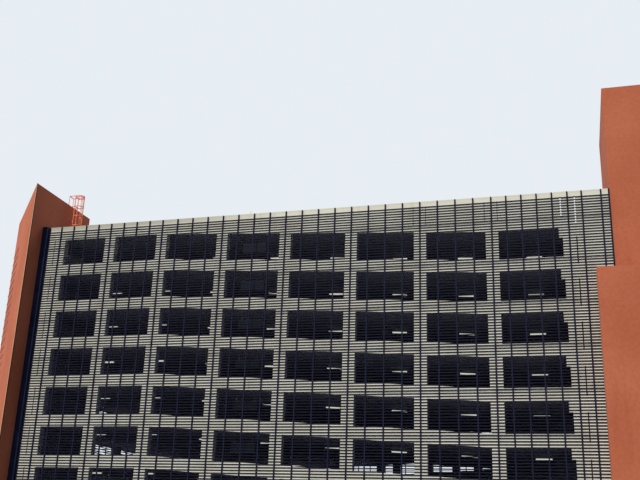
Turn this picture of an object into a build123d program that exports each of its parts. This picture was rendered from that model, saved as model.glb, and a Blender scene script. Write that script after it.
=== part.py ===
"""Multi storey car park at half real size: sloping decks, a concrete frame behind a metal
screen, and a red stair tower at each end. Millimetres, front towards -Y, ground at Z = 0."""
import os
from build123d import *

# Levels
storey = 1524
storeys = 8
ground_slab_height = 125
deck_thickness = 110
ramp_drop = storey / 2
parapet_height = 431

# Pier lines along the front, and bays along the ends
narrow_bay = 2302
narrow_bays = 2
ramp_bay = 2607
ramp_bays = 5
last_bay = 2675
end_bay = 2607
end_bays = 7
closed_end_bays = 2
left_overhang = 825
right_overhang = 1445

# Concrete frame
pier_width = 450
pier_depth = 300
panel_thickness = 100
panel_height = 450
panel_below_deck = 165
end_wall_thickness = 125
haunch_length = 125
haunch_height = 365
column_width = 300
guard_height = 450
guard_thickness = 75

# Open joints beside the first and last pier, with two tall ones through the parapet
slot_width = 40
slot_top_margin = 200
left_slot_height = 715
right_slot_height = 1075

# Metal screen
mullion_width = 50
mullion_depth = 30
mullion_standoff = 10
screen_top_drop = 15
panels_per_bay = 4
panels_in_last_bay = 5
bar_height = 36
bar_depth = 15
bar_pitch = storey / 15
bar_count = 116
first_bar_drop = 236
first_rail_bar = 8
rail_every = 15
end_mullion_offset = 490
outer_mullion_offset = 1150
cover_width = 255
cover_thickness = 150

# Left stair tower, a right triangle in plan with a sharp prow
left_tower_front = 990
left_tower_back = 3325
left_tower_reach = 3715
left_tower_height = 15160
tower_wall = 150
roof_slab = 100
roof_recess = 200

# Right stair tower and the lower block in front of it
right_tower_width = 3260
right_tower_depth = 5000
right_tower_height = 17475
low_block_left_offset = 805
low_block_overhang = 700
low_block_height = 10340
low_block_clearance = 90

# Caged ladder from the roof deck to the left tower's roof
ladder_y = 1775
ladder_standoff = 200
ladder_gauge = 225
rail_width = 16
rail_depth = 32
rung_radius = 6
rung_pitch = 150
ladder_rise = 465
bracket_height = 24
bracket_spacing = 700
cage_share = 0.55
cage_width = 340
hoop_section = 16
hoop_height = 30
hoop_spacing = 440
walkthrough_inset = 65

# Small fittings
light_length = 575
light_width = 75
light_height = 40
light_row = 2950
light_drop = 105
hanger_width = 12
vent_radius = 26
vent_height = 125
vent_offset = 1095
vent_foot_length = 130
vent_foot_width = 60
vent_foot_height = 18

# Everything below is placed from the first pier line and the front face of the concrete.
line_steps = [narrow_bay] * narrow_bays + [ramp_bay] * ramp_bays + [last_bay]
front_length = left_overhang + sum(line_steps) + right_overhang
low_block_end = right_tower_width + low_block_overhang
overall_length = left_tower_reach + front_length + low_block_end
building_depth = end_bay * end_bays
screen_outer = mullion_standoff + mullion_depth
overall_depth = left_tower_front + building_depth + screen_outer

left_face = left_tower_reach - overall_length / 2
right_face = left_face + front_length
front_face = left_tower_front - overall_depth / 2
back_face = front_face + building_depth
middle_y = (front_face + back_face) / 2
lines = [left_face + left_overhang + sum(line_steps[:i]) for i in range(len(line_steps) + 1)]
ramp_left = lines[narrow_bays]
ramp_right = lines[narrow_bays + ramp_bays]
last_line = lines[-1]
end_lines = [front_face + end_bay * i for i in range(1, end_bays)]
roof_level = ground_slab_height + storeys * storey + ramp_drop
parapet_top = roof_level + parapet_height
panel_above_deck = panel_height - panel_below_deck
first_bar = parapet_top - first_bar_drop
lowest_bar = first_bar - (bar_count - 1) * bar_pitch
tower_x = right_face + right_tower_width

inner_front = front_face + panel_thickness
inner_back = back_face - panel_thickness
inner_left = left_face + panel_thickness
inner_right = right_face - panel_thickness

# Planes of the four walls, so placed that a positive extrusion fills the wall's thickness
front_wall = Plane.XZ.offset(-inner_front)
back_wall = Plane.XZ.offset(-back_face)
left_wall = Plane.YZ.offset(left_face)
right_wall = Plane.YZ.offset(inner_right)


def ramp_share(x):
    """Part of the half storey that the ramps have climbed at x, 1 at the left end."""
    share = (ramp_right - x) / (ramp_right - ramp_left)
    return min(1, max(0, share))


def front_level(x, level):
    """Top of the deck behind the front wall."""
    return ground_slab_height + level * storey + ramp_drop * ramp_share(x)


def back_level(x, level):
    """Top of the deck behind the back wall, which climbs on from the same left deck."""
    return ground_slab_height + (level + 1) * storey - ramp_drop * ramp_share(x)


def block(x0, x1, y0, y1, z0, z1, mode=Mode.ADD):
    """Add or cut a box between two opposite corners."""
    with Locations(((x0 + x1) / 2, (y0 + y1) / 2, (z0 + z1) / 2)):
        Box(x1 - x0, y1 - y0, z1 - z0, mode=mode)


def area(x0, x1, y0, y1):
    """Add a rectangle between two opposite corners to a sketch."""
    with Locations(((x0 + x1) / 2, (y0 + y1) / 2)):
        Rectangle(x1 - x0, y1 - y0)


def bands(x0, x1, top, levels, low, high):
    """Add the same band to a sketch at each level, from low to high above the deck's top."""
    start, end = top(x0, 0), top(x1, 0)
    with Locations(*[(0, level * storey) for level in levels]):
        Polygon((x0, start + low), (x1, end + low), (x1, end + high), (x0, start + high), align=None)


def prism(outline, y0, y1):
    """Add an outline in X and Z, drawn out from y0 to y1."""
    with BuildSketch(Plane.XZ.offset(-y1)) as profile:
        Polygon(*outline, align=None)
    extrude(profile.sketch, amount=y1 - y0)


os.makedirs("parts", exist_ok=True)


def save(name, builder):
    """Label a finished piece and write its STEP file."""
    builder.part.label = name
    export_step(builder.part, f"parts/{name}.step")


# Plan of the posts and corner walls that the decks are notched around
wall_pier_centres = [front_face + pier_depth / 2, back_face - pier_depth / 2]
end_pier_centres = [left_face + pier_depth / 2, right_face - pier_depth / 2]
corner_spans = [(left_face, lines[0] - pier_width / 2), (last_line + pier_width / 2, right_face)]
with BuildSketch() as corner_plan:
    for x0, x1 in corner_spans:
        area(x0, x1, front_face, front_face + end_wall_thickness)
        area(x0, x1, back_face - end_wall_thickness, back_face)
with BuildSketch() as post_plan:
    with Locations(*[(x, y) for x in lines for y in wall_pier_centres]):
        Rectangle(pier_width, pier_depth)
    with Locations(*[(x, y) for y in end_lines for x in end_pier_centres]):
        Rectangle(pier_depth, pier_width)
    with Locations(*[(x, middle_y) for x in lines[1:]]):
        Rectangle(column_width, column_width)
    add(corner_plan.sketch)

# Plans of the flat deck at each end
with BuildSketch() as left_plan:
    area(inner_left, ramp_left, inner_front, inner_back)
    add(post_plan.sketch, mode=Mode.SUBTRACT)
with BuildSketch() as right_plan:
    area(ramp_right, inner_right, inner_front, inner_back)
    add(post_plan.sketch, mode=Mode.SUBTRACT)

# Ground slab
with BuildPart() as ground_slab:
    with BuildSketch():
        area(inner_left, inner_right, inner_front, inner_back)
        add(post_plan.sketch, mode=Mode.SUBTRACT)
    extrude(amount=ground_slab_height)
save("ground_slab", ground_slab)

# Raised ground under the lowest left deck, with the first front ramp up to it
ramp_front_edge = middle_y - column_width / 2
ramp_back_edge = middle_y + column_width / 2
raised_top = front_level(ramp_left, 0)
with BuildPart() as raised_ground:
    with BuildSketch(Plane.XY.offset(ground_slab_height)):
        area(inner_left, ramp_left, inner_front, inner_back)
    extrude(amount=raised_top - ground_slab_height)
    wedge = [(ramp_left, ground_slab_height), (ramp_right, ground_slab_height), (ramp_left, raised_top)]
    prism(wedge, inner_front, ramp_front_edge)
    with BuildSketch():
        add(post_plan.sketch)
    extrude(amount=parapet_top, mode=Mode.SUBTRACT)
save("raised_ground", raised_ground)

# Flat decks, one node a storey, the last one being the roof
for level in range(1, storeys + 1):
    with BuildPart() as deck:
        for plan, x in ((left_plan, ramp_left), (right_plan, ramp_right)):
            with BuildSketch(Plane.XY.offset(front_level(x, level) - deck_thickness)):
                add(plan.sketch)
        extrude(amount=deck_thickness)
    save("roof_deck" if level == storeys else f"deck_{level}", deck)

# Ramps, one node a storey: up to the left along the front, up to the right along the back
ramp_lines = lines[narrow_bays : narrow_bays + ramp_bays + 1]
ramp_posts = [(x, y, 0) for x in ramp_lines for y in wall_pier_centres]
for level in range(storeys + 1):
    with BuildPart() as ramps:
        if level > 0:
            with BuildSketch(Plane.XZ.offset(-ramp_front_edge)):
                bands(ramp_left, ramp_right, front_level, [level], -deck_thickness, 0)
        if level < storeys:
            with BuildSketch(Plane.XZ.offset(-inner_back)):
                bands(ramp_left, ramp_right, back_level, [level], -deck_thickness, 0)
        extrude(amount=ramp_front_edge - inner_front)
        with Locations(*ramp_posts):
            Box(pier_width, pier_depth, 2 * parapet_top, mode=Mode.SUBTRACT)
    save("roof_ramp" if level == storeys else f"ramps_{level}", ramps)

# Left and right side of each pier along the long walls, and of each bay between two piers
pier_spans = [(x - pier_width / 2, x + pier_width / 2) for x in lines]
bays = [(a[1], b[0]) for a, b in zip(pier_spans, pier_spans[1:])]
haunch_x = last_line - pier_width / 2 - haunch_length / 2


def haunches(top, levels):
    """Add the step below each panel's end at the last pier."""
    z = top(last_line, 0) - panel_below_deck - haunch_height / 2
    with Locations(*[(haunch_x, z + level * storey) for level in levels]):
        Rectangle(haunch_length, haunch_height)


def back_lowest(bay):
    """Lowest storey with a panel on the back wall, above the closed base."""
    return 0 if bay == len(bays) - 1 else 1


def back_highest(bay):
    """Storey at which the back wall's parapet starts."""
    return storeys if bay < narrow_bays else storeys - 1


# Wall panels of the front
with BuildPart() as front_panels:
    with BuildSketch(front_wall):
        for x0, x1 in bays:
            bands(x0, x1, front_level, range(1, storeys), -panel_below_deck, panel_above_deck)
        haunches(front_level, range(1, storeys))
    extrude(amount=panel_thickness)
save("front_panels", front_panels)

# Wall panels of the back
with BuildPart() as back_panels:
    with BuildSketch(back_wall):
        for bay, (x0, x1) in enumerate(bays):
            levels = range(back_lowest(bay), back_highest(bay))
            bands(x0, x1, back_level, levels, -panel_below_deck, panel_above_deck)
        haunches(back_level, range(storeys - 1))
    extrude(amount=panel_thickness)
save("back_panels", back_panels)


# Front and back side of each bay of the end walls, between the corner walls
end_edges = [front_face + end_wall_thickness]
for y in end_lines:
    end_edges += [y - pier_width / 2, y + pier_width / 2]
end_edges.append(back_face - end_wall_thickness)
end_spans = list(zip(end_edges[::2], end_edges[1::2]))


def end_panels(low, high, levels):
    """Add an end wall's panels to a sketch in Y and Z."""
    for y0, y1 in end_spans:
        with Locations(*[((y0 + y1) / 2, (low + high) / 2 + level * storey) for level in levels]):
            Rectangle(y1 - y0, high - low)


end_walls = [(left_wall, front_level(ramp_left, 0)), (right_wall, front_level(ramp_right, 0))]

# Wall panels of both ends, with the bays beside the stair towers closed from base to parapet
with BuildPart() as end_wall_panels:
    for wall, deck_top in end_walls:
        with BuildSketch(wall):
            end_panels(deck_top - panel_below_deck, deck_top + panel_above_deck, range(1, storeys))
            low, high = deck_top + panel_above_deck, deck_top + storeys * storey - panel_below_deck
            for y0, y1 in end_spans[:closed_end_bays]:
                area(y0, y1, low, high)
    extrude(amount=panel_thickness)
save("end_wall_panels", end_wall_panels)

# Closed base below the lowest openings, with the last bay left open front and back for vehicles
with BuildPart() as base_walls:
    for wall, top in ((front_wall, front_level), (back_wall, back_level)):
        with BuildSketch(wall):
            for x0, x1 in bays[:-1]:
                start, end = top(x0, 0) + panel_above_deck, top(x1, 0) + panel_above_deck
                Polygon((x0, 0), (x1, 0), (x1, end), (x0, start), align=None)
    for wall, deck_top in end_walls:
        with BuildSketch(wall):
            end_panels(0, deck_top + panel_above_deck, [0])
    extrude(amount=panel_thickness)
save("base_walls", base_walls)


def parapet(x0, x1, top, level):
    """Add one bay's parapet to a sketch, from below the roof deck to the level top."""
    start, end = top(x0, level) - panel_below_deck, top(x1, level) - panel_below_deck
    Polygon((x0, start), (x1, end), (x1, parapet_top), (x0, parapet_top), align=None)


def cut_slots(x, ranges):
    """Cut upright joints through the front and back walls, x being their left side."""
    for low, high in ranges:
        block(x, x + slot_width, front_face, back_face, low, high, Mode.SUBTRACT)


slot_top = parapet_top - slot_top_margin


# Parapets of the front and back, level along the top
with BuildPart() as long_parapets:
    with BuildSketch(front_wall):
        for x0, x1 in bays:
            parapet(x0, x1, front_level, storeys)
        haunches(front_level, [storeys])
    with BuildSketch(back_wall):
        for bay, (x0, x1) in enumerate(bays):
            parapet(x0, x1, back_level, back_highest(bay))
        haunches(front_level, [storeys])
    extrude(amount=panel_thickness)
    cut_slots(last_line - pier_width / 2 - slot_width, [(slot_top - left_slot_height, slot_top)])
save("long_parapets", long_parapets)

# Parapets of both ends
with BuildPart() as end_parapets:
    for wall, deck_top in end_walls:
        with BuildSketch(wall):
            end_panels(deck_top + storeys * storey - panel_below_deck, parapet_top, [0])
    extrude(amount=panel_thickness)
save("end_parapets", end_parapets)

# Closed walls between the outer piers and the corners, with an open joint a storey beside each pier
with BuildPart() as corner_walls:
    add(corner_plan.sketch)
    extrude(amount=parapet_top)
    left_deck, right_deck = [deck_top for wall, deck_top in end_walls]
    left_joint = (left_deck + panel_above_deck, left_deck + storey - panel_below_deck)
    right_joint = (right_deck, right_deck + storey - panel_below_deck - haunch_height)
    joint_rises = [level * storey for level in range(storeys)]
    left_joints = [(left_joint[0] + rise, left_joint[1] + rise) for rise in joint_rises]
    right_joints = [(right_joint[0] + rise, right_joint[1] + rise) for rise in joint_rises]
    cut_slots(lines[0] - pier_width / 2 - slot_width, left_joints)
    cut_slots(last_line + pier_width / 2, right_joints + [(slot_top - right_slot_height, slot_top)])
save("corner_walls", corner_walls)

# Piers of the long walls, from the ground to the top of the parapet
for side, y in zip(("front", "back"), wall_pier_centres):
    with BuildPart() as piers:
        with BuildSketch():
            for x0, x1 in pier_spans:
                area(x0, x1, y - pier_depth / 2, y + pier_depth / 2)
        extrude(amount=parapet_top)
    save(f"{side}_piers", piers)

# Piers of the end walls
with BuildPart() as end_piers:
    with BuildSketch():
        with Locations(*[(x, y) for y in end_lines for x in end_pier_centres]):
            Rectangle(pier_depth, pier_width)
    extrude(amount=parapet_top)
save("end_piers", end_piers)

# Columns between the two rows of ramps
with BuildPart() as middle_columns:
    with BuildSketch(Plane.XZ.offset(-ramp_back_edge)):
        for x in lines[1:]:
            x0, x1 = x - column_width / 2, x + column_width / 2
            area(x0, x1, 0, front_level(x1, storeys))
    extrude(amount=column_width)
save("middle_columns", middle_columns)

# Guard walls where the roof drops to the last back ramp
with BuildPart() as roof_guards:
    with BuildSketch(Plane.XZ.offset(-ramp_front_edge)):
        bands(ramp_left, ramp_right, front_level, [storeys], 0, guard_height)
    extrude(amount=guard_thickness)
    guard_top = roof_level + guard_height
    guard_end = back_face - pier_depth
    block(ramp_left - guard_thickness, ramp_left, ramp_back_edge, guard_end, roof_level, guard_top)
save("roof_guards", roof_guards)

rail_heights = [first_bar - bar_pitch * (n - 1) for n in range(first_rail_bar, bar_count, rail_every)]
screen_low = lowest_bar - bar_height / 2
screen_top = parapet_top - screen_top_drop


def long_wall_mullions(first):
    """X of each mullion on a long wall: the first one, then even panels, then the wider end ones."""
    positions = [first]
    for index, step in enumerate(line_steps):
        panels = panels_in_last_bay if index == len(line_steps) - 1 else panels_per_bay
        positions += [lines[index] + step * i / panels for i in range(panels)]
    end = [last_line, last_line + end_mullion_offset, last_line + outer_mullion_offset, edge_mullion]
    return positions + end


def end_mullions(first):
    """Y of each mullion on an end wall, from the first one clear of the tower."""
    pitch = end_bay / panels_per_bay
    ys = [front_face + pitch * i for i in range(end_bays * panels_per_bay + 1)]
    ys[-1] -= mullion_width / 2
    return [y for y in ys if y > first + mullion_width / 2]


def strips(plane, depth, centres, width, height):
    """Add equal strips that stand out from a plane."""
    with BuildSketch(plane) as profile:
        with Locations(*centres):
            Rectangle(width, height)
    extrude(profile.sketch, amount=depth)


def screen(plane, positions, bracket_positions):
    """Mullions, carrying rails through them, and brackets to the piers."""
    mullions = [(x, (screen_low + screen_top) / 2) for x in positions]
    rails = [((positions[0] + positions[-1]) / 2, z) for z in rail_heights]
    brackets = [(x, z) for x in bracket_positions for z in rail_heights]
    rail_length = abs(positions[-1] - positions[0])
    rail_standoff = mullion_standoff + (mullion_depth - bar_depth) / 2
    mullion_height = screen_top - screen_low
    strips(plane.offset(mullion_standoff), mullion_depth, mullions, mullion_width, mullion_height)
    strips(plane.offset(rail_standoff), bar_depth, rails, rail_length, bar_height)
    strips(plane, mullion_standoff, brackets, mullion_width, bar_height)


# Screens of the long walls. On planes that face away from the building, the back one runs along -X.
edge_mullion = right_face - mullion_width / 2
with BuildPart() as front_screen:
    xs = long_wall_mullions(left_face + cover_width + mullion_width / 2)
    screen(Plane.XZ.offset(-front_face), xs, lines)
save("front_screen", front_screen)

with BuildPart() as back_screen:
    back_plane = Plane(origin=(0, back_face, 0), x_dir=(-1, 0, 0), z_dir=(0, 1, 0))
    xs = long_wall_mullions(left_face + mullion_width / 2)
    screen(back_plane, [-x for x in xs], [-x for x in lines])
save("back_screen", back_screen)

# Screens of the end walls, behind the stair towers. The left one runs along -Y.
with BuildPart() as left_screen:
    left_plane = Plane(origin=(left_face, 0, 0), x_dir=(0, -1, 0), z_dir=(-1, 0, 0))
    ys = end_mullions(front_face + left_tower_back)
    screen(left_plane, [-y for y in ys], [-y for y in end_lines if y > ys[0]])
save("left_screen", left_screen)

with BuildPart() as right_screen:
    ys = end_mullions(front_face + right_tower_depth)
    screen(Plane.YZ.offset(right_face), ys, [y for y in end_lines if y > ys[0]])
save("right_screen", right_screen)

# Metal box over the joint between the screen and the left tower
with BuildPart() as joint_cover:
    block(left_face, left_face + cover_width, front_face - cover_thickness, front_face, 0, parapet_top)
save("joint_cover", joint_cover)

left_tower_outline = [
    (left_face, front_face - left_tower_front),
    (left_face, front_face + left_tower_back),
    (left_face - left_tower_reach, front_face + left_tower_back),
]
right_tower_outline = [
    (right_face, front_face),
    (tower_x, front_face),
    (tower_x, front_face + right_tower_depth),
    (right_face, front_face + right_tower_depth),
]
low_block_x0 = last_line + low_block_left_offset
low_block_x1 = tower_x + low_block_overhang
low_block_front = front_face - left_tower_front
low_block_back = front_face - screen_outer - low_block_clearance
low_block_outline = [
    (low_block_x0, low_block_front),
    (low_block_x1, low_block_front),
    (low_block_x1, front_face),
    (right_face, front_face),
    (right_face, low_block_back),
    (low_block_x0, low_block_back),
]

# Tower walls, of even thickness inside each outline
towers = [
    ("left_tower_walls", left_tower_outline, left_tower_height),
    ("right_tower_walls", right_tower_outline, right_tower_height),
    ("low_block_walls", low_block_outline, low_block_height),
]
for name, outline, height in towers:
    with BuildPart() as walls:
        with BuildSketch():
            Polygon(*outline, align=None)
            offset(amount=-tower_wall, kind=Kind.INTERSECTION, mode=Mode.SUBTRACT)
        extrude(amount=height)
    save(name, walls)

# Roof slabs inside the tower walls, a little below their tops
with BuildPart() as tower_roofs:
    for name, outline, height in towers:
        with BuildSketch(Plane.XY.offset(height - roof_recess - roof_slab)):
            Polygon(*outline, align=None)
            offset(amount=-tower_wall, kind=Kind.INTERSECTION, mode=Mode.REPLACE)
    extrude(amount=roof_slab)
save("tower_roofs", tower_roofs)

# Ladder: two rails, rungs, and brackets to the tower wall
rail_x = left_face + ladder_standoff
ladder_middle = front_face + ladder_y
ladder_top = left_tower_height + ladder_rise
first_bracket = left_tower_height - 2 * bracket_height
bracket_count = int((first_bracket - parapet_top) / bracket_spacing) + 1
rung_count = int((left_tower_height - roof_level) / rung_pitch)
with BuildPart() as access_ladder:
    for y in (ladder_middle - ladder_gauge / 2, ladder_middle + ladder_gauge / 2):
        y0, y1 = y - rail_width / 2, y + rail_width / 2
        block(rail_x - rail_depth / 2, rail_x + rail_depth / 2, y0, y1, roof_level, ladder_top)
        for i in range(bracket_count):
            z = first_bracket - i * bracket_spacing
            block(left_face, rail_x, y0, y1, z, z + bracket_height)
    with BuildSketch(Plane.XZ.offset(-(ladder_middle + ladder_gauge / 2))):
        with Locations(*[(rail_x, roof_level + i * rung_pitch) for i in range(1, rung_count + 1)]):
            RegularPolygon(rung_radius, 8)
    extrude(amount=ladder_gauge)
save("access_ladder", access_ladder)

# Cage round the ladder, with a longer hoop at the top that stands on the tower's wall
cage_x = rail_x + rail_depth / 2
cage_low = ladder_top - (ladder_top - roof_level) * cage_share
hoop_radius = cage_width / 2
hoop_count = int((ladder_top - hoop_height - cage_low) / hoop_spacing) + 1
long_hoop_x = left_face - tower_wall + walkthrough_inset
hoop_heights = [(cage_x, cage_low + i * hoop_spacing) for i in range(hoop_count)]
hoop_heights.append((long_hoop_x, ladder_top - hoop_height))


def hoop_ring(start_x):
    """Add a closed hoop to a sketch: straight sides from start_x, rounded at the far end."""
    for radius, mode in ((hoop_radius, Mode.ADD), (hoop_radius - hoop_section, Mode.SUBTRACT)):
        x0, x1 = start_x + hoop_radius - radius, cage_x + hoop_radius
        with Locations(((x0 + x1) / 2, ladder_middle)):
            Rectangle(x1 - x0, 2 * radius, mode=mode)
        with Locations((x1, ladder_middle)):
            Circle(radius, mode=mode)


with BuildPart() as ladder_cage:
    for start_x, z in hoop_heights:
        with BuildSketch(Plane.XY.offset(z)):
            hoop_ring(start_x)
    extrude(amount=hoop_height)
    for angle in (-90, -45, 0, 45, 90):
        at = Vector(hoop_radius - hoop_section / 2, 0, 0).rotate(Axis.Z, angle)
        with Locations((cage_x + hoop_radius + at.X, ladder_middle + at.Y, (cage_low + ladder_top) / 2)):
            Box(hoop_section, hoop_section, ladder_top - cage_low)
    for y in (ladder_middle - hoop_radius, ladder_middle + hoop_radius - hoop_section):
        y0, y1 = y, y + hoop_section
        block(long_hoop_x, long_hoop_x + hoop_section, y0, y1, left_tower_height, ladder_top)
save("ladder_cage", ladder_cage)

# A light in the middle of each bay, in one row along the front and one along the back
light_rows = [(front_face + light_row, front_level), (back_face - light_row, back_level)]


def lights(top):
    """Each bay's light: both ends, the decks that carry one, and how far it hangs below them.

    In the narrow bays they lie close to the ceiling, and there is none under the roof.
    """
    for bay, (a, b) in enumerate(zip(lines, lines[1:])):
        levels = range(1, storeys + 1)
        if top == back_level:
            levels = range(back_lowest(bay), back_highest(bay) + 1)
        if bay < narrow_bays:
            levels = levels[:-1]
        drop = 0 if bay < narrow_bays else light_drop
        yield (a + b - light_length) / 2, (a + b + light_length) / 2, levels, drop


with BuildPart() as ceiling_lights:
    for y, top in light_rows:
        with BuildSketch(Plane.XZ.offset(-(y + light_width / 2))):
            for x0, x1, levels, drop in lights(top):
                light_top = -deck_thickness - drop
                bands(x0, x1, top, levels, light_top - light_height, light_top)
        extrude(amount=light_width)
        with BuildSketch(Plane.XZ.offset(-(y + hanger_width / 2))):
            for x0, x1, levels, drop in lights(top):
                if drop > 0:
                    bands(x0, x0 + hanger_width, top, levels, -deck_thickness - drop, -deck_thickness)
                    bands(x1 - hanger_width, x1, top, levels, -deck_thickness - drop, -deck_thickness)
        extrude(amount=hanger_width)
save("ceiling_lights", ceiling_lights)

# Small vent pipe on the front parapet, with a flat foot to its left
vent_x = lines[3] + vent_offset
vent_y = front_face + panel_thickness / 2
with BuildPart() as roof_vent:
    with Locations((vent_x, vent_y, parapet_top + vent_height / 2)):
        Cylinder(vent_radius, vent_height)
    y0, y1 = vent_y - vent_foot_width / 2, vent_y + vent_foot_width / 2
    block(vent_x - vent_foot_length, vent_x, y0, y1, parapet_top, parapet_top + vent_foot_height)
save("roof_vent", roof_vent)
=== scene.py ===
"""Dresses the half-size car park: fine screen bars, materials, floor, lights and camera. Metres."""
import math
import bmesh
import bpy
from mathutils import Matrix, Vector

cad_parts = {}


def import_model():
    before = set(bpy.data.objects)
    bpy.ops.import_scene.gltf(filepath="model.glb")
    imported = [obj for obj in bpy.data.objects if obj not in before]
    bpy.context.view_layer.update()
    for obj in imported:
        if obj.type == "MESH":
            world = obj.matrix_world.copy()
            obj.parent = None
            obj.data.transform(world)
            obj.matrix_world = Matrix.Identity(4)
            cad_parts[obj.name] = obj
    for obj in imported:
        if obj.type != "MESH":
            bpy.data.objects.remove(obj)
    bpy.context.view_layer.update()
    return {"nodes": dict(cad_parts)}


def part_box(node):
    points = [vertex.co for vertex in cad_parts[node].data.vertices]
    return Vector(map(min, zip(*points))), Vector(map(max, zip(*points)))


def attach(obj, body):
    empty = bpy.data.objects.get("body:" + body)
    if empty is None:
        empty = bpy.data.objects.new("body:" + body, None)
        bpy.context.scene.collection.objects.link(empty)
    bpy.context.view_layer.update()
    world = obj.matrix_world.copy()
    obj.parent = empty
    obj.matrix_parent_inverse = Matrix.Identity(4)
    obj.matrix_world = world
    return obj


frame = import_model()

# Outer faces and levels of the building
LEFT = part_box("corner_walls")[0].x
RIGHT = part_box("corner_walls")[1].x
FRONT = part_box("front_piers")[0].y
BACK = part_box("back_piers")[1].y
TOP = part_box("front_piers")[1].z
ROOF_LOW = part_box("roof_deck")[0].z
SCREEN_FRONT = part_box("front_screen")[0].y

# Sizes that the model repeats
STOREY = 1.524
STOREYS = 8
RAMP_BAY = 2.607
LAST_BAY = 2.675
RIGHT_OVERHANG = 1.445
DECK_THICKNESS = 0.110
WALL_THICKNESS = 0.100
MULLION_WIDTH = 0.050
BAR_PITCH = STOREY / 15
BAR_COUNT = 116
FIRST_BAR_DROP = 0.236
FIRST_RAIL_BAR = 8
RAIL_EVERY = 15
BAR_HEIGHT = 0.036
BAR_DEPTH = 0.015
BAR_STANDOFF = 0.010
BAR_CHAMFER = 0.003
LIGHT_ROW = 2.950

# How far out from the walls the mullions take their paler finish
MULLION_OUT = 0.036

# Stain along the parapet: how far in from the left end it reaches and is full, and its lower edge
STAIN_REACH = 12.0
STAIN_FULL = 4.0
EDGE_LOW = 0.24
EDGE_HIGH = 0.12

# Line scored along the parapet, below its top
COPING_LINE = 0.055

# Distance from the middle of a row of lamps beyond which only their lit sides lie
ROD_SIDE = 0.030
LAMP_SIDE = 0.034

# Colours, linear
CONCRETE = (0.66, 0.635, 0.52, 1)
CONCRETE_PALE = (0.76, 0.735, 0.625, 1)
CONCRETE_STAIN = (0.42, 0.40, 0.33, 1)
# Painted shade: darker, bluer colour for concrete inside the walls and under the roof
CONCRETE_SHADED_INSIDE = (0.32, 0.33, 0.40, 1)
DECK_TOP = (0.16, 0.155, 0.14, 1)
DECK_WORN = (0.27, 0.26, 0.235, 1)
# Painted shade: darker, bluer colours of the deck undersides, with their board marks
SOFFIT_SHADED = (0.25, 0.255, 0.33, 1)
SOFFIT_SHADED_PALE = (0.34, 0.345, 0.42, 1)
METAL = (0.007, 0.007, 0.017, 1)
METAL_DUSTY = (0.012, 0.012, 0.027, 1)
MULLION = (0.011, 0.011, 0.028, 1)
COVER = (0.007, 0.011, 0.036, 1)
COVER_PALE = (0.014, 0.020, 0.052, 1)
RENDER_RED = (0.42, 0.110, 0.052, 1)
RENDER_PALE = (0.49, 0.142, 0.073, 1)
RENDER_STAIN = (0.31, 0.070, 0.034, 1)
BEAD = (0.52, 0.32, 0.08, 1)
BEAD_PALE = (0.62, 0.44, 0.16, 1)
# Painted shadow: the ribs' dark red stands in for the shade under them
RIB_SHADOW = (0.20, 0.050, 0.030, 1)
LADDER_RED = (0.72, 0.13, 0.05, 1)
LADDER_PALE = (0.85, 0.27, 0.14, 1)
FELT = (0.20, 0.19, 0.18, 1)
FELT_PALE = (0.32, 0.31, 0.29, 1)
LAMP = (0.86, 0.88, 0.74, 1)
LAMP_BODY = (0.05, 0.05, 0.055, 1)
UNLIT = (0, 0, 0, 1)
# Blue-grey of the hanging boards, darkened with painted shade
BOARD_SHADED = (0.004, 0.008, 0.013, 1)
BOARD_SHADED_PALE = (0.007, 0.012, 0.018, 1)
WHITE = (0.80, 0.80, 0.76, 1)
GALVANISED = (0.20, 0.21, 0.22, 1)
FLOOR_LIT = (0.15, 0.155, 0.16, 1)
FLOOR_PALE = (0.66, 0.66, 0.64, 1)
FLOOR_PALEST = (0.70, 0.70, 0.68, 1)
SKY_LIGHT = (0.50, 0.70, 1.0, 1)
SKY_SHOWN = (0.80, 0.85, 0.90, 1)

# Places of the colour sockets on a mix node
MIX_FIRST = 6
MIX_SECOND = 7
MIX_RESULT = 2


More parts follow.
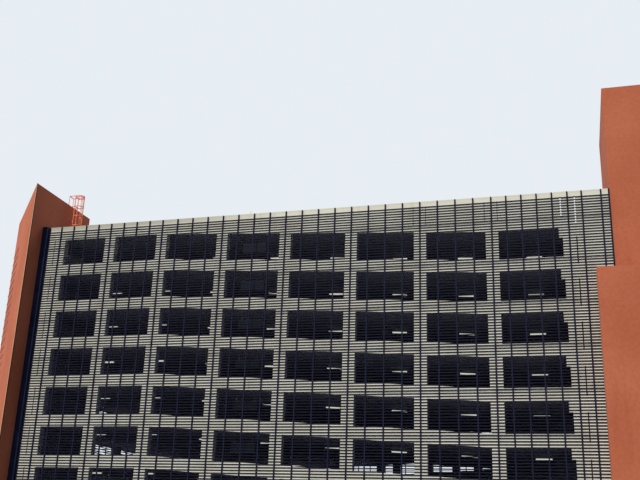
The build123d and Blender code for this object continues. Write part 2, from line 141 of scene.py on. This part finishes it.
class Shader:
    """A material's node tree, with short calls for the nodes that the materials share."""

    def __init__(self, name, roughness, specular=0.5):
        self.material = bpy.data.materials.new(name)
        self.material.use_nodes = True
        self.tree = self.material.node_tree
        self.surface = self.tree.nodes["Principled BSDF"]
        self.surface.inputs["Roughness"].default_value = roughness
        self.surface.inputs["Specular IOR Level"].default_value = specular
        self.place = self.add("ShaderNodeTexCoord").outputs["Object"]

    def add(self, kind, **settings):
        """A new node of this kind."""
        made = self.tree.nodes.new(kind)
        for name, value in settings.items():
            setattr(made, name, value)
        return made

    def feed(self, socket, value):
        """Link another node's output to a socket, or set the socket's own value."""
        if isinstance(value, bpy.types.NodeSocket):
            self.tree.links.new(value, socket)
        else:
            socket.default_value = value

    def math(self, operation, first, second=0.0, third=0.0):
        """One step of arithmetic on up to three values."""
        made = self.add("ShaderNodeMath", operation=operation)
        for socket, value in zip(made.inputs, (first, second, third)):
            self.feed(socket, value)
        return made.outputs["Value"]

    def stretched(self, x, y, z):
        """The place on the surface, scaled along each axis."""
        made = self.add("ShaderNodeMapping")
        self.feed(made.inputs["Vector"], self.place)
        made.inputs["Scale"].default_value = (x, y, z)
        return made.outputs["Vector"]

    def noise(self, scale, detail=4.0, vector=None):
        """Uneven patches from 0 to 1, smaller as the scale grows."""
        made = self.add("ShaderNodeTexNoise")
        self.feed(made.inputs["Vector"], vector or self.place)
        made.inputs["Scale"].default_value = scale
        made.inputs["Detail"].default_value = detail
        return made.outputs["Fac"]

    def between(self, value, low, high):
        """0 below low and 1 above high, smooth between, or the reverse where high is the lower."""
        made = self.add("ShaderNodeMapRange", interpolation_type="SMOOTHSTEP")
        self.feed(made.inputs["Value"], value)
        made.inputs["From Min"].default_value = low
        made.inputs["From Max"].default_value = high
        return made.outputs["Result"]

    def mix(self, factor, first, second):
        """The first colour at 0, the second at 1."""
        made = self.add("ShaderNodeMix", data_type="RGBA")
        self.feed(made.inputs["Factor"], factor)
        self.feed(made.inputs[MIX_FIRST], first)
        self.feed(made.inputs[MIX_SECOND], second)
        return made.outputs[MIX_RESULT]

    def bump(self, height, strength, distance):
        """Give the surface a fine relief."""
        made = self.add("ShaderNodeBump")
        made.inputs["Strength"].default_value = strength
        made.inputs["Distance"].default_value = distance
        self.feed(made.inputs["Height"], height)
        self.feed(self.surface.inputs["Normal"], made.outputs["Normal"])

    def axis(self, name):
        """The place on the surface along one axis."""
        made = self.add("ShaderNodeSeparateXYZ")
        self.feed(made.inputs["Vector"], self.place)
        return made.outputs[name]

    def facing(self, name):
        """How far the surface's true normal points along an axis."""
        made = self.add("ShaderNodeSeparateXYZ")
        self.feed(made.inputs["Vector"], self.add("ShaderNodeNewGeometry").outputs["True Normal"])
        return made.outputs[name]

    def joints(self, along, pitch, width):
        """1 in thin lines at an even pitch along an axis."""
        phase = self.math("FRACT", self.math("DIVIDE", along, pitch))
        off = self.math("ABSOLUTE", self.math("SUBTRACT", phase, 0.5))
        return self.between(off, 0.5 - width / pitch, 0.5 - 0.3 * width / pitch)

    def colour(self, value):
        self.feed(self.surface.inputs["Base Color"], value)


def concrete():
    """Pale cast concrete outside, weathered in streaks, and darker and bluer between the decks with
    painted shade.
    """
    s = Shader("cast_concrete", 0.85, 0.15)
    x, y, z = s.axis("X"), s.axis("Y"), s.axis("Z")
    tone = s.mix(s.between(s.noise(0.9, 6.0), 0.35, 0.65), CONCRETE, CONCRETE_PALE)
    streaks = s.between(s.noise(3.0, 5.0, s.stretched(1.6, 1.6, 0.18)), 0.55, 0.80)
    tone = s.mix(s.math("MULTIPLY", streaks, 0.35), tone, CONCRETE_STAIN)
    grain = s.noise(38.0, 8.0)
    tone = s.mix(s.math("MULTIPLY", s.between(grain, 0.62, 0.80), 0.30), tone, CONCRETE_STAIN)
    patches = s.math("MULTIPLY", s.between(s.noise(0.9, 4.0), 0.40, 0.60), 0.30)
    worn = s.math("MAXIMUM", patches, s.between(x, LEFT + STAIN_REACH, LEFT + STAIN_FULL))
    edge = s.between(z, TOP - EDGE_LOW, TOP - EDGE_HIGH)
    tone = s.mix(s.math("MULTIPLY", worn, edge), tone, CONCRETE_STAIN)
    coping = s.between(s.math("ABSOLUTE", s.math("SUBTRACT", z, TOP - COPING_LINE)), 0.009, 0.004)
    tone = s.mix(s.math("MULTIPLY", coping, 0.55), tone, CONCRETE_STAIN)
    # Painted shade on the concrete inside the walls and under the roof
    depth_x = s.math("MINIMUM", s.math("SUBTRACT", x, LEFT), s.math("SUBTRACT", RIGHT, x))
    depth_y = s.math("MINIMUM", s.math("SUBTRACT", y, FRONT), s.math("SUBTRACT", BACK, y))
    behind = s.between(s.math("MINIMUM", depth_x, depth_y), 0.02, WALL_THICKNESS)
    roofed = s.between(z, ROOF_LOW + 0.01, ROOF_LOW)
    s.colour(s.mix(s.math("MULTIPLY", behind, roofed), tone, CONCRETE_SHADED_INSIDE))
    pores = s.noise(160.0, 3.0)
    relief = s.math("ADD", grain, s.math("MULTIPLY", pores, 0.4))
    s.bump(s.math("SUBTRACT", relief, coping), 0.35, 0.004)
    return s.material


def deck():
    """Deck with a worn, tyre-marked top, sawn joints and a board-marked underside, darker and bluer
    with painted shade.
    """
    s = Shader("deck_concrete", 0.9, 0.15)
    lanes = s.between(s.noise(1.4, 5.0, s.stretched(0.25, 1.0, 1.0)), 0.40, 0.68)
    spots = s.between(s.noise(7.0, 7.0), 0.60, 0.75)
    top = s.mix(s.math("MULTIPLY", spots, 0.5), s.mix(lanes, DECK_WORN, DECK_TOP), DECK_TOP)
    along, across = [s.joints(s.axis(name), RAMP_BAY, 0.012) for name in ("X", "Y")]
    sawn = s.math("MAXIMUM", along, across)
    top = s.mix(s.math("MULTIPLY", sawn, 0.6), top, SOFFIT_SHADED)
    boards = s.add("ShaderNodeTexWave", bands_direction="Y", wave_profile="SAW")
    s.feed(boards.inputs["Vector"], s.place)
    boards.inputs["Scale"].default_value = 2.0
    boards.inputs["Distortion"].default_value = 0.4
    # Underside: real board marks, in a darker, bluer colour that is painted shade
    under = s.mix(s.math("MULTIPLY", boards.outputs["Fac"], s.noise(2.5, 4.0)), SOFFIT_SHADED, SOFFIT_SHADED_PALE)
    s.colour(s.mix(s.between(s.facing("Z"), -0.5, 0.5), under, top))
    s.bump(s.math("SUBTRACT", s.noise(60.0, 6.0), sawn), 0.3, 0.003)
    return s.material


def painted(name, base, pale, roughness, specular, scale):
    """Paint on metal: a slightly uneven coat with dust, and a fine orange-peel surface."""
    s = Shader(name, roughness, specular)
    dust = s.between(s.noise(scale, 6.0), 0.35, 0.75)
    s.colour(s.mix(dust, base, pale))
    grain = s.noise(90.0, 4.0)
    s.feed(s.surface.inputs["Roughness"], s.between(grain, -1.2 * (1 - roughness), 1.6))
    s.bump(grain, 0.15, 0.0006)
    return s.material


def screen_metal():
    """Dark coat on the screens, a little paler on the outermost faces of the mullions."""
    s = Shader("screen_metal", 0.55, 0.06)
    x, y = s.axis("X"), s.axis("Y")
    out_x = s.math("MAXIMUM", s.math("SUBTRACT", LEFT, x), s.math("SUBTRACT", x, RIGHT))
    out_y = s.math("MAXIMUM", s.math("SUBTRACT", FRONT, y), s.math("SUBTRACT", y, BACK))
    outermost = s.between(s.math("MAXIMUM", out_x, out_y), MULLION_OUT, MULLION_OUT + 0.002)
    grain = s.noise(70.0, 5.0)
    dust = s.between(s.noise(5.0, 6.0), 0.35, 0.75)
    s.colour(s.mix(outermost, s.mix(dust, METAL, METAL_DUSTY), MULLION))
    s.feed(s.surface.inputs["Roughness"], s.between(grain, -0.6, 1.4))
    s.bump(grain, 0.15, 0.0006)
    return s.material


def red_render():
    """Sand-textured red render with soft patches, rain streaks and faint level score lines."""
    s = Shader("red_render", 0.92, 0.2)
    patch = s.between(s.noise(0.35, 4.0), 0.30, 0.70)
    tone = s.mix(patch, RENDER_RED, RENDER_PALE)
    streaks = s.between(s.noise(2.2, 5.0, s.stretched(1.5, 1.5, 0.12)), 0.56, 0.85)
    tone = s.mix(s.math("MULTIPLY", streaks, 0.35), tone, RENDER_STAIN)
    mottle = s.between(s.noise(9.0, 6.0), 0.35, 0.70)
    tone = s.mix(s.math("MULTIPLY", mottle, 0.25), tone, RENDER_STAIN)
    line = s.joints(s.axis("Z"), STOREY, 0.010)
    s.colour(s.mix(s.math("MULTIPLY", line, 0.25), tone, RENDER_STAIN))
    sand = s.math("SUBTRACT", s.noise(120.0, 6.0), line)
    s.bump(sand, 0.35, 0.003)
    return s.material


def felt():
    """Roof felt in overlapping strips with pale grit."""
    s = Shader("roof_felt", 0.95, 0.2)
    strips = s.add("ShaderNodeTexWave", bands_direction="X", wave_profile="SAW")
    s.feed(strips.inputs["Vector"], s.place)
    strips.inputs["Scale"].default_value = 0.6
    grit = s.between(s.noise(45.0, 8.0), 0.40, 0.65)
    s.colour(s.mix(grit, FELT, FELT_PALE))
    s.bump(s.math("ADD", strips.outputs["Fac"], s.math("MULTIPLY", grit, 0.3)), 0.3, 0.006)
    return s.material


def lamp():
    """Batten lamp with a ribbed, lit diffuser below and along its sides, on dark rods."""
    s = Shader("lamp_diffuser", 0.35)
    y = s.axis("Y")
    from_front = s.math("ABSOLUTE", s.math("SUBTRACT", y, FRONT + LIGHT_ROW))
    from_back = s.math("ABSOLUTE", s.math("SUBTRACT", y, BACK - LIGHT_ROW))
    beside = s.between(s.math("MINIMUM", from_front, from_back), ROD_SIDE, LAMP_SIDE)
    lit = s.math("MAXIMUM", beside, s.between(s.facing("Z"), -0.5, -0.6))
    s.colour(s.mix(lit, LAMP_BODY, LAMP))
    ribs = s.add("ShaderNodeTexWave", bands_direction="X")
    s.feed(ribs.inputs["Vector"], s.place)
    ribs.inputs["Scale"].default_value = 60.0
    s.feed(s.surface.inputs["Emission Color"], s.mix(lit, UNLIT, LAMP))
    s.surface.inputs["Emission Strength"].default_value = 0.65
    s.bump(ribs.outputs["Fac"], 0.3, 0.001)
    return s.material


def board():
    """Blue-grey sheet with faint upright seams, darkened with painted shade."""
    s = Shader("board_sheet", 0.6, 0.15)
    seams = s.add("ShaderNodeTexWave", bands_direction="X", wave_profile="SIN")
    s.feed(seams.inputs["Vector"], s.place)
    seams.inputs["Scale"].default_value = 4.0
    s.colour(s.mix(s.math("MULTIPLY", seams.outputs["Fac"], s.noise(6.0, 5.0)), BOARD_SHADED, BOARD_SHADED_PALE))
    s.bump(seams.outputs["Fac"], 0.2, 0.002)
    return s.material


materials = {
    "concrete": concrete(),
    "deck": deck(),
    "metal": screen_metal(),
    "cover": painted("cover_metal", COVER, COVER_PALE, 0.55, 0.15, 2.0),
    "red_render": red_render(),
    "bead": painted("corner_bead", BEAD, BEAD_PALE, 0.6, 0.3, 8.0),
    # Ribs in a dark red that is painted shadow
    "rib": painted("rib_shadow_paint", RIB_SHADOW, RENDER_STAIN, 0.8, 0.2, 8.0),
    "ladder": painted("ladder_paint", LADDER_RED, LADDER_PALE, 0.4, 0.3, 6.0),
    "felt": felt(),
    "lamp": lamp(),
    "board": board(),
    "white": painted("white_paint", WHITE, CONCRETE_PALE, 0.4, 0.5, 12.0),
    "galvanised": painted("galvanised_steel", GALVANISED, FELT_PALE, 0.45, 0.3, 20.0),
}

SPECIAL = {
    "front_screen": "metal",
    "back_screen": "metal",
    "left_screen": "metal",
    "right_screen": "metal",
    "middle_columns": "deck",
    "joint_cover": "cover",
    "left_tower_walls": "red_render",
    "right_tower_walls": "red_render",
    "low_block_walls": "red_render",
    "tower_roofs": "felt",
    "access_ladder": "ladder",
    "ladder_cage": "ladder",
    "ceiling_lights": "lamp",
    "roof_vent": "white",
}
DECK_NODES = ("deck_", "ramps_", "roof_deck", "roof_ramp", "ground_slab", "raised_ground")

# Every solid keeps its shape and gets its material
for name, solid in frame["nodes"].items():
    kind = SPECIAL.get(name, "deck" if name.startswith(DECK_NODES) else "concrete")
    solid.data.materials.clear()
    solid.data.materials.append(materials[kind])


def finish_piece(name, mesh, material):
    """Turn a bmesh into a piece of the car park."""
    bmesh.ops.recalc_face_normals(mesh, faces=mesh.faces)
    data = bpy.data.meshes.new(name)
    mesh.to_mesh(data)
    mesh.free()
    data.materials.append(materials[material])
    piece = bpy.data.objects.new(name, data)
    bpy.context.scene.collection.objects.link(piece)
    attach(piece, "root")


def loft(mesh, start_ring, end_ring):
    """Join two equal rings of points into a closed prism."""
    a = [mesh.verts.new(p) for p in start_ring]
    b = [mesh.verts.new(p) for p in end_ring]
    count = len(a)
    mesh.faces.new(a)
    mesh.faces.new(b[::-1])
    for i in range(count):
        j = (i + 1) % count
        mesh.faces.new((a[j], a[i], b[i], b[j]))


def bevelled(depth, height, chamfer):
    """Outline of a flat bar with chamfered edges, round its middle."""
    d, h = depth / 2, height / 2
    return [
        (-d + chamfer, -h), (d - chamfer, -h), (d, -h + chamfer), (d, h - chamfer),
        (d - chamfer, h), (-d + chamfer, h), (-d, h - chamfer), (-d, -h + chamfer),
    ]


def on_front(along, out, z):
    return along, FRONT - out, z


def on_back(along, out, z):
    return along, BACK + out, z


def on_left(along, out, z):
    return LEFT - out, along, z


def on_right(along, out, z):
    return RIGHT + out, along, z


# The fine bars between the carrying rails, on all four screens
bar_outline = bevelled(BAR_DEPTH, BAR_HEIGHT, BAR_CHAMFER)
bar_out = BAR_STANDOFF + BAR_DEPTH / 2
fine_bars = [n for n in range(1, BAR_COUNT + 1) if (n - FIRST_RAIL_BAR) % RAIL_EVERY]
sides = {"front": (on_front, 0), "back": (on_back, 0), "left": (on_left, 1), "right": (on_right, 1)}
for side, (on_side, axis) in sides.items():
    low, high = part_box(f"{side}_screen")
    ends = (low[axis] + MULLION_WIDTH / 2, high[axis] - MULLION_WIDTH / 2)
    mesh = bmesh.new()
    for n in fine_bars:
        z = TOP - FIRST_BAR_DROP - (n - 1) * BAR_PITCH
        rings = [[on_side(end, bar_out + u, z + w) for u, w in bar_outline] for end in ends]
        loft(mesh, *rings)
    finish_piece(f"{side}_bars", mesh, "metal")


def box_at(mesh, x0, x1, y0, y1, z0, z1, chamfer):
    """Add an upright box with chamfered corners."""
    plan = [
        (x0 + chamfer, y0), (x1 - chamfer, y0), (x1, y0 + chamfer), (x1, y1 - chamfer),
        (x1 - chamfer, y1), (x0 + chamfer, y1), (x0, y1 - chamfer), (x0, y0 + chamfer),
    ]
    loft(mesh, [(x, y, z0) for x, y in plan], [(x, y, z1) for x, y in plan])


# Boards that hang behind the screen in the fourth bay of each storey
BOARD_X = (LEFT + 8.850, LEFT + 9.790)
BOARD_BOTTOM = 0.660
BOARD_HEIGHT = 0.340
BOARD_THICKNESS = 0.020
BOARD_INSET = 0.245
BOARD_CHAMFER = 0.003
HANGER_SIZE = 0.012
HANGER_CHAMFER = 0.002
HANGER_LAP = 0.05
HANGER_FROM_END = 0.12
ramp_low, ramp_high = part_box("roof_ramp")
slope = (ramp_high.z - ramp_low.z - DECK_THICKNESS) / (ramp_high.x - ramp_low.x)
board_middle = sum(BOARD_X) / 2
roof_at_board = ramp_low.z + DECK_THICKNESS + (ramp_high.x - board_middle) * slope
board_y = FRONT + BOARD_INSET
boards = bmesh.new()
hangers = bmesh.new()
for level in range(1, STOREYS):
    deck_z = roof_at_board - (STOREYS - level) * STOREY
    z0 = deck_z + BOARD_BOTTOM
    z1 = z0 + BOARD_HEIGHT
    y0, y1 = board_y - BOARD_THICKNESS / 2, board_y + BOARD_THICKNESS / 2
    box_at(boards, *BOARD_X, y0, y1, z0, z1, BOARD_CHAMFER)
    for x in (BOARD_X[0] + HANGER_FROM_END, BOARD_X[1] - HANGER_FROM_END):
        ceiling = deck_z + STOREY - DECK_THICKNESS - (x - board_middle) * slope
        half = HANGER_SIZE / 2
        low = z1 - HANGER_LAP
        box_at(hangers, x - half, x + half, y1, y1 + HANGER_SIZE, low, ceiling, HANGER_CHAMFER)
finish_piece("hanging_boards", boards, "board")
finish_piece("board_hangers", hangers, "galvanised")

# Narrow sealed joints in the parapet, on both sides of the two piers before the last one
JOINT_PLACES = (-0.250, 0.210)
JOINT_WIDTH = 0.020
JOINT_PROUD = 0.004
JOINT_DROP = 0.200
JOINT_HEIGHT = 0.715
TRIM_CHAMFER = 0.001
joint_top = TOP - JOINT_DROP
joint_low = joint_top - JOINT_HEIGHT
last_pier = RIGHT - RIGHT_OVERHANG
mesh = bmesh.new()
for step in (LAST_BAY, LAST_BAY + RAMP_BAY):
    for beside in JOINT_PLACES:
        x = last_pier - step + beside
        x0, x1 = x - JOINT_WIDTH / 2, x + JOINT_WIDTH / 2
        box_at(mesh, x0, x1, FRONT - JOINT_PROUD, FRONT, joint_low, joint_top, TRIM_CHAMFER)
finish_piece("parapet_joints", mesh, "cover")

# Slanted face of the left tower, from its sharp front corner to its far corner
tower_low, tower_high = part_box("left_tower_walls")
prow = Vector((tower_high.x, tower_low.y, 0))
far_corner = Vector((tower_low.x, tower_high.y, 0))
towards_prow = (prow - far_corner).normalized()
outwards = Vector((towards_prow.y, -towards_prow.x, 0))


def on_slant(distance, out, z):
    """A point on the slanted face, this far from the far corner and this far out."""
    place = far_corner + towards_prow * distance + outwards * out
    return place.x, place.y, z


# Pale bead down the sharp front corner
BEAD_WIDTH = 0.075
BEAD_PROUD = 0.006
slant_length = (prow - far_corner).length
bead_plan = [(0, 0), (-BEAD_PROUD, BEAD_PROUD), (-BEAD_WIDTH, BEAD_PROUD), (-BEAD_WIDTH, 0)]
mesh = bmesh.new()
loft(mesh, *[[on_slant(slant_length + s, out, z) for s, out in bead_plan] for z in (0.0, tower_high.z)])
finish_piece("corner_bead", mesh, "bead")

# Dark strip beside it, on the face towards the car park: painted shade along the shaded side of the
# sharp corner
SHADE_STRIP_WIDTH = 0.050
SHADE_STRIP_PROUD = 0.006
mesh = bmesh.new()
shade_strip_x, shade_strip_y = prow.x + SHADE_STRIP_PROUD, prow.y + SHADE_STRIP_WIDTH
box_at(mesh, prow.x, shade_strip_x, prow.y, shade_strip_y, 0.0, tower_high.z, TRIM_CHAMFER)
finish_piece("corner_shade_strip", mesh, "cover")

# Short level ribs at the far end of the slanted face, coloured dark as painted shadow under each rib
RIB_START = 0.030
RIB_END = 1.750
RIB_HEIGHT = 0.045
RIB_PROUD = 0.018
RIB_PITCH = 0.372
RIB_TOP = 13.494
mesh = bmesh.new()
for n in range(int(RIB_TOP / RIB_PITCH)):
    z = RIB_TOP - n * RIB_PITCH
    rib = [(0, z - RIB_HEIGHT), (RIB_PROUD, z - RIB_HEIGHT), (RIB_PROUD, z - RIB_HEIGHT / 3), (0, z)]
    loft(mesh, *[[on_slant(s, out, height) for out, height in rib] for s in (RIB_START, RIB_END)])
finish_piece("tower_ribs", mesh, "rib")


def seen_directly(tree):
    """1 for rays from the camera, or from it by way of a reflection or glass."""
    paths = tree.nodes.new("ShaderNodeLightPath")
    result = paths.outputs["Is Camera Ray"]
    for other in ("Is Glossy Ray", "Is Transmission Ray"):
        larger = tree.nodes.new("ShaderNodeMath")
        larger.operation = "MAXIMUM"
        tree.links.new(result, larger.inputs[0])
        tree.links.new(paths.outputs[other], larger.inputs[1])
        result = larger.outputs[0]
    return result


# Floor, which shows pale and throws less light up at the building
FLOOR_SIZE = 260
FLOOR_DROP = 0.002
mesh = bmesh.new()
bmesh.ops.create_grid(mesh, x_segments=4, y_segments=4, size=FLOOR_SIZE)
data = bpy.data.meshes.new("floor")
mesh.to_mesh(data)
mesh.free()
floor = bpy.data.objects.new("floor", data)
bpy.context.scene.collection.objects.link(floor)
floor.location.z = -FLOOR_DROP
ground = Shader("pale_floor", 0.9, 0.1)
pale_floor = ground.mix(ground.noise(0.4, 3.0), FLOOR_PALE, FLOOR_PALEST)
ground.colour(ground.mix(seen_directly(ground.tree), FLOOR_LIT, pale_floor))
data.materials.append(ground.material)


def sun(name, azimuth, elevation, strength, softness, colour):
    """A soft distant lamp. Azimuth 0 stands in front of the car park, and grows to its right."""
    lamp_data = bpy.data.lights.new(name, "SUN")
    lamp_data.energy = strength
    lamp_data.angle = math.radians(softness)
    lamp_data.color = colour
    around, height = math.radians(azimuth), math.radians(elevation)
    level = math.cos(height)
    towards = Vector((math.sin(around) * level, -math.cos(around) * level, math.sin(height)))
    made = bpy.data.objects.new(name, lamp_data)
    made.rotation_euler = towards.to_track_quat("Z", "Y").to_euler()
    bpy.context.scene.collection.objects.link(made)


sun("key", azimuth=-14.5, elevation=50, strength=3.8, softness=2, colour=(1.0, 0.96, 0.89))
sun("left_fill", azimuth=-82, elevation=50, strength=1.5, softness=25, colour=(0.95, 0.98, 1.0))
sun("back_fill", azimuth=150, elevation=45, strength=0.8, softness=25, colour=(0.95, 0.97, 1.0))


def world():
    """Even pale surroundings that light the object less than they show."""
    made = bpy.data.worlds.new("surroundings")
    bpy.context.scene.world = made
    made.use_nodes = True
    tree = made.node_tree
    tree.nodes.clear()
    dim = tree.nodes.new("ShaderNodeBackground")
    dim.inputs["Color"].default_value = SKY_LIGHT
    dim.inputs["Strength"].default_value = 0.27
    pale = tree.nodes.new("ShaderNodeBackground")
    pale.inputs["Color"].default_value = SKY_SHOWN
    pale.inputs["Strength"].default_value = 1.0
    choose = tree.nodes.new("ShaderNodeMixShader")
    output = tree.nodes.new("ShaderNodeOutputWorld")
    tree.links.new(seen_directly(tree), choose.inputs["Fac"])
    tree.links.new(dim.outputs[0], choose.inputs[1])
    tree.links.new(pale.outputs[0], choose.inputs[2])
    tree.links.new(choose.outputs[0], output.inputs["Surface"])


world()

# Camera where the photograph was taken, low in front of the right half
CAMERA_BESIDE = 20.9985
CAMERA_BEFORE = 30.5145
CAMERA_HEIGHT = 1.150
CAMERA_YAW = math.radians(-16.344)
CAMERA_PITCH = math.radians(19.200)
CAMERA_ROLL = math.radians(1.995)
level = math.cos(CAMERA_PITCH)
forward = Vector((math.sin(CAMERA_YAW) * level, math.cos(CAMERA_YAW) * level, math.sin(CAMERA_PITCH)))
level_right = Vector((math.cos(CAMERA_YAW), -math.sin(CAMERA_YAW), 0))
level_up = level_right.cross(forward)
right = level_right * math.cos(CAMERA_ROLL) + level_up * math.sin(CAMERA_ROLL)
up = level_up * math.cos(CAMERA_ROLL) - level_right * math.sin(CAMERA_ROLL)
camera_data = bpy.data.cameras.new("camera")
camera_data.sensor_width = 36
camera_data.lens = 50.0
camera_data.clip_end = 1000
camera = bpy.data.objects.new("camera", camera_data)
place = Vector((LEFT + CAMERA_BESIDE, SCREEN_FRONT - CAMERA_BEFORE, CAMERA_HEIGHT))
camera.matrix_world = Matrix.Translation(place) @ Matrix((right, up, -forward)).transposed().to_4x4()
bpy.context.scene.collection.objects.link(camera)
bpy.context.scene.camera = camera
bpy.context.scene.view_settings.view_transform = "Standard"
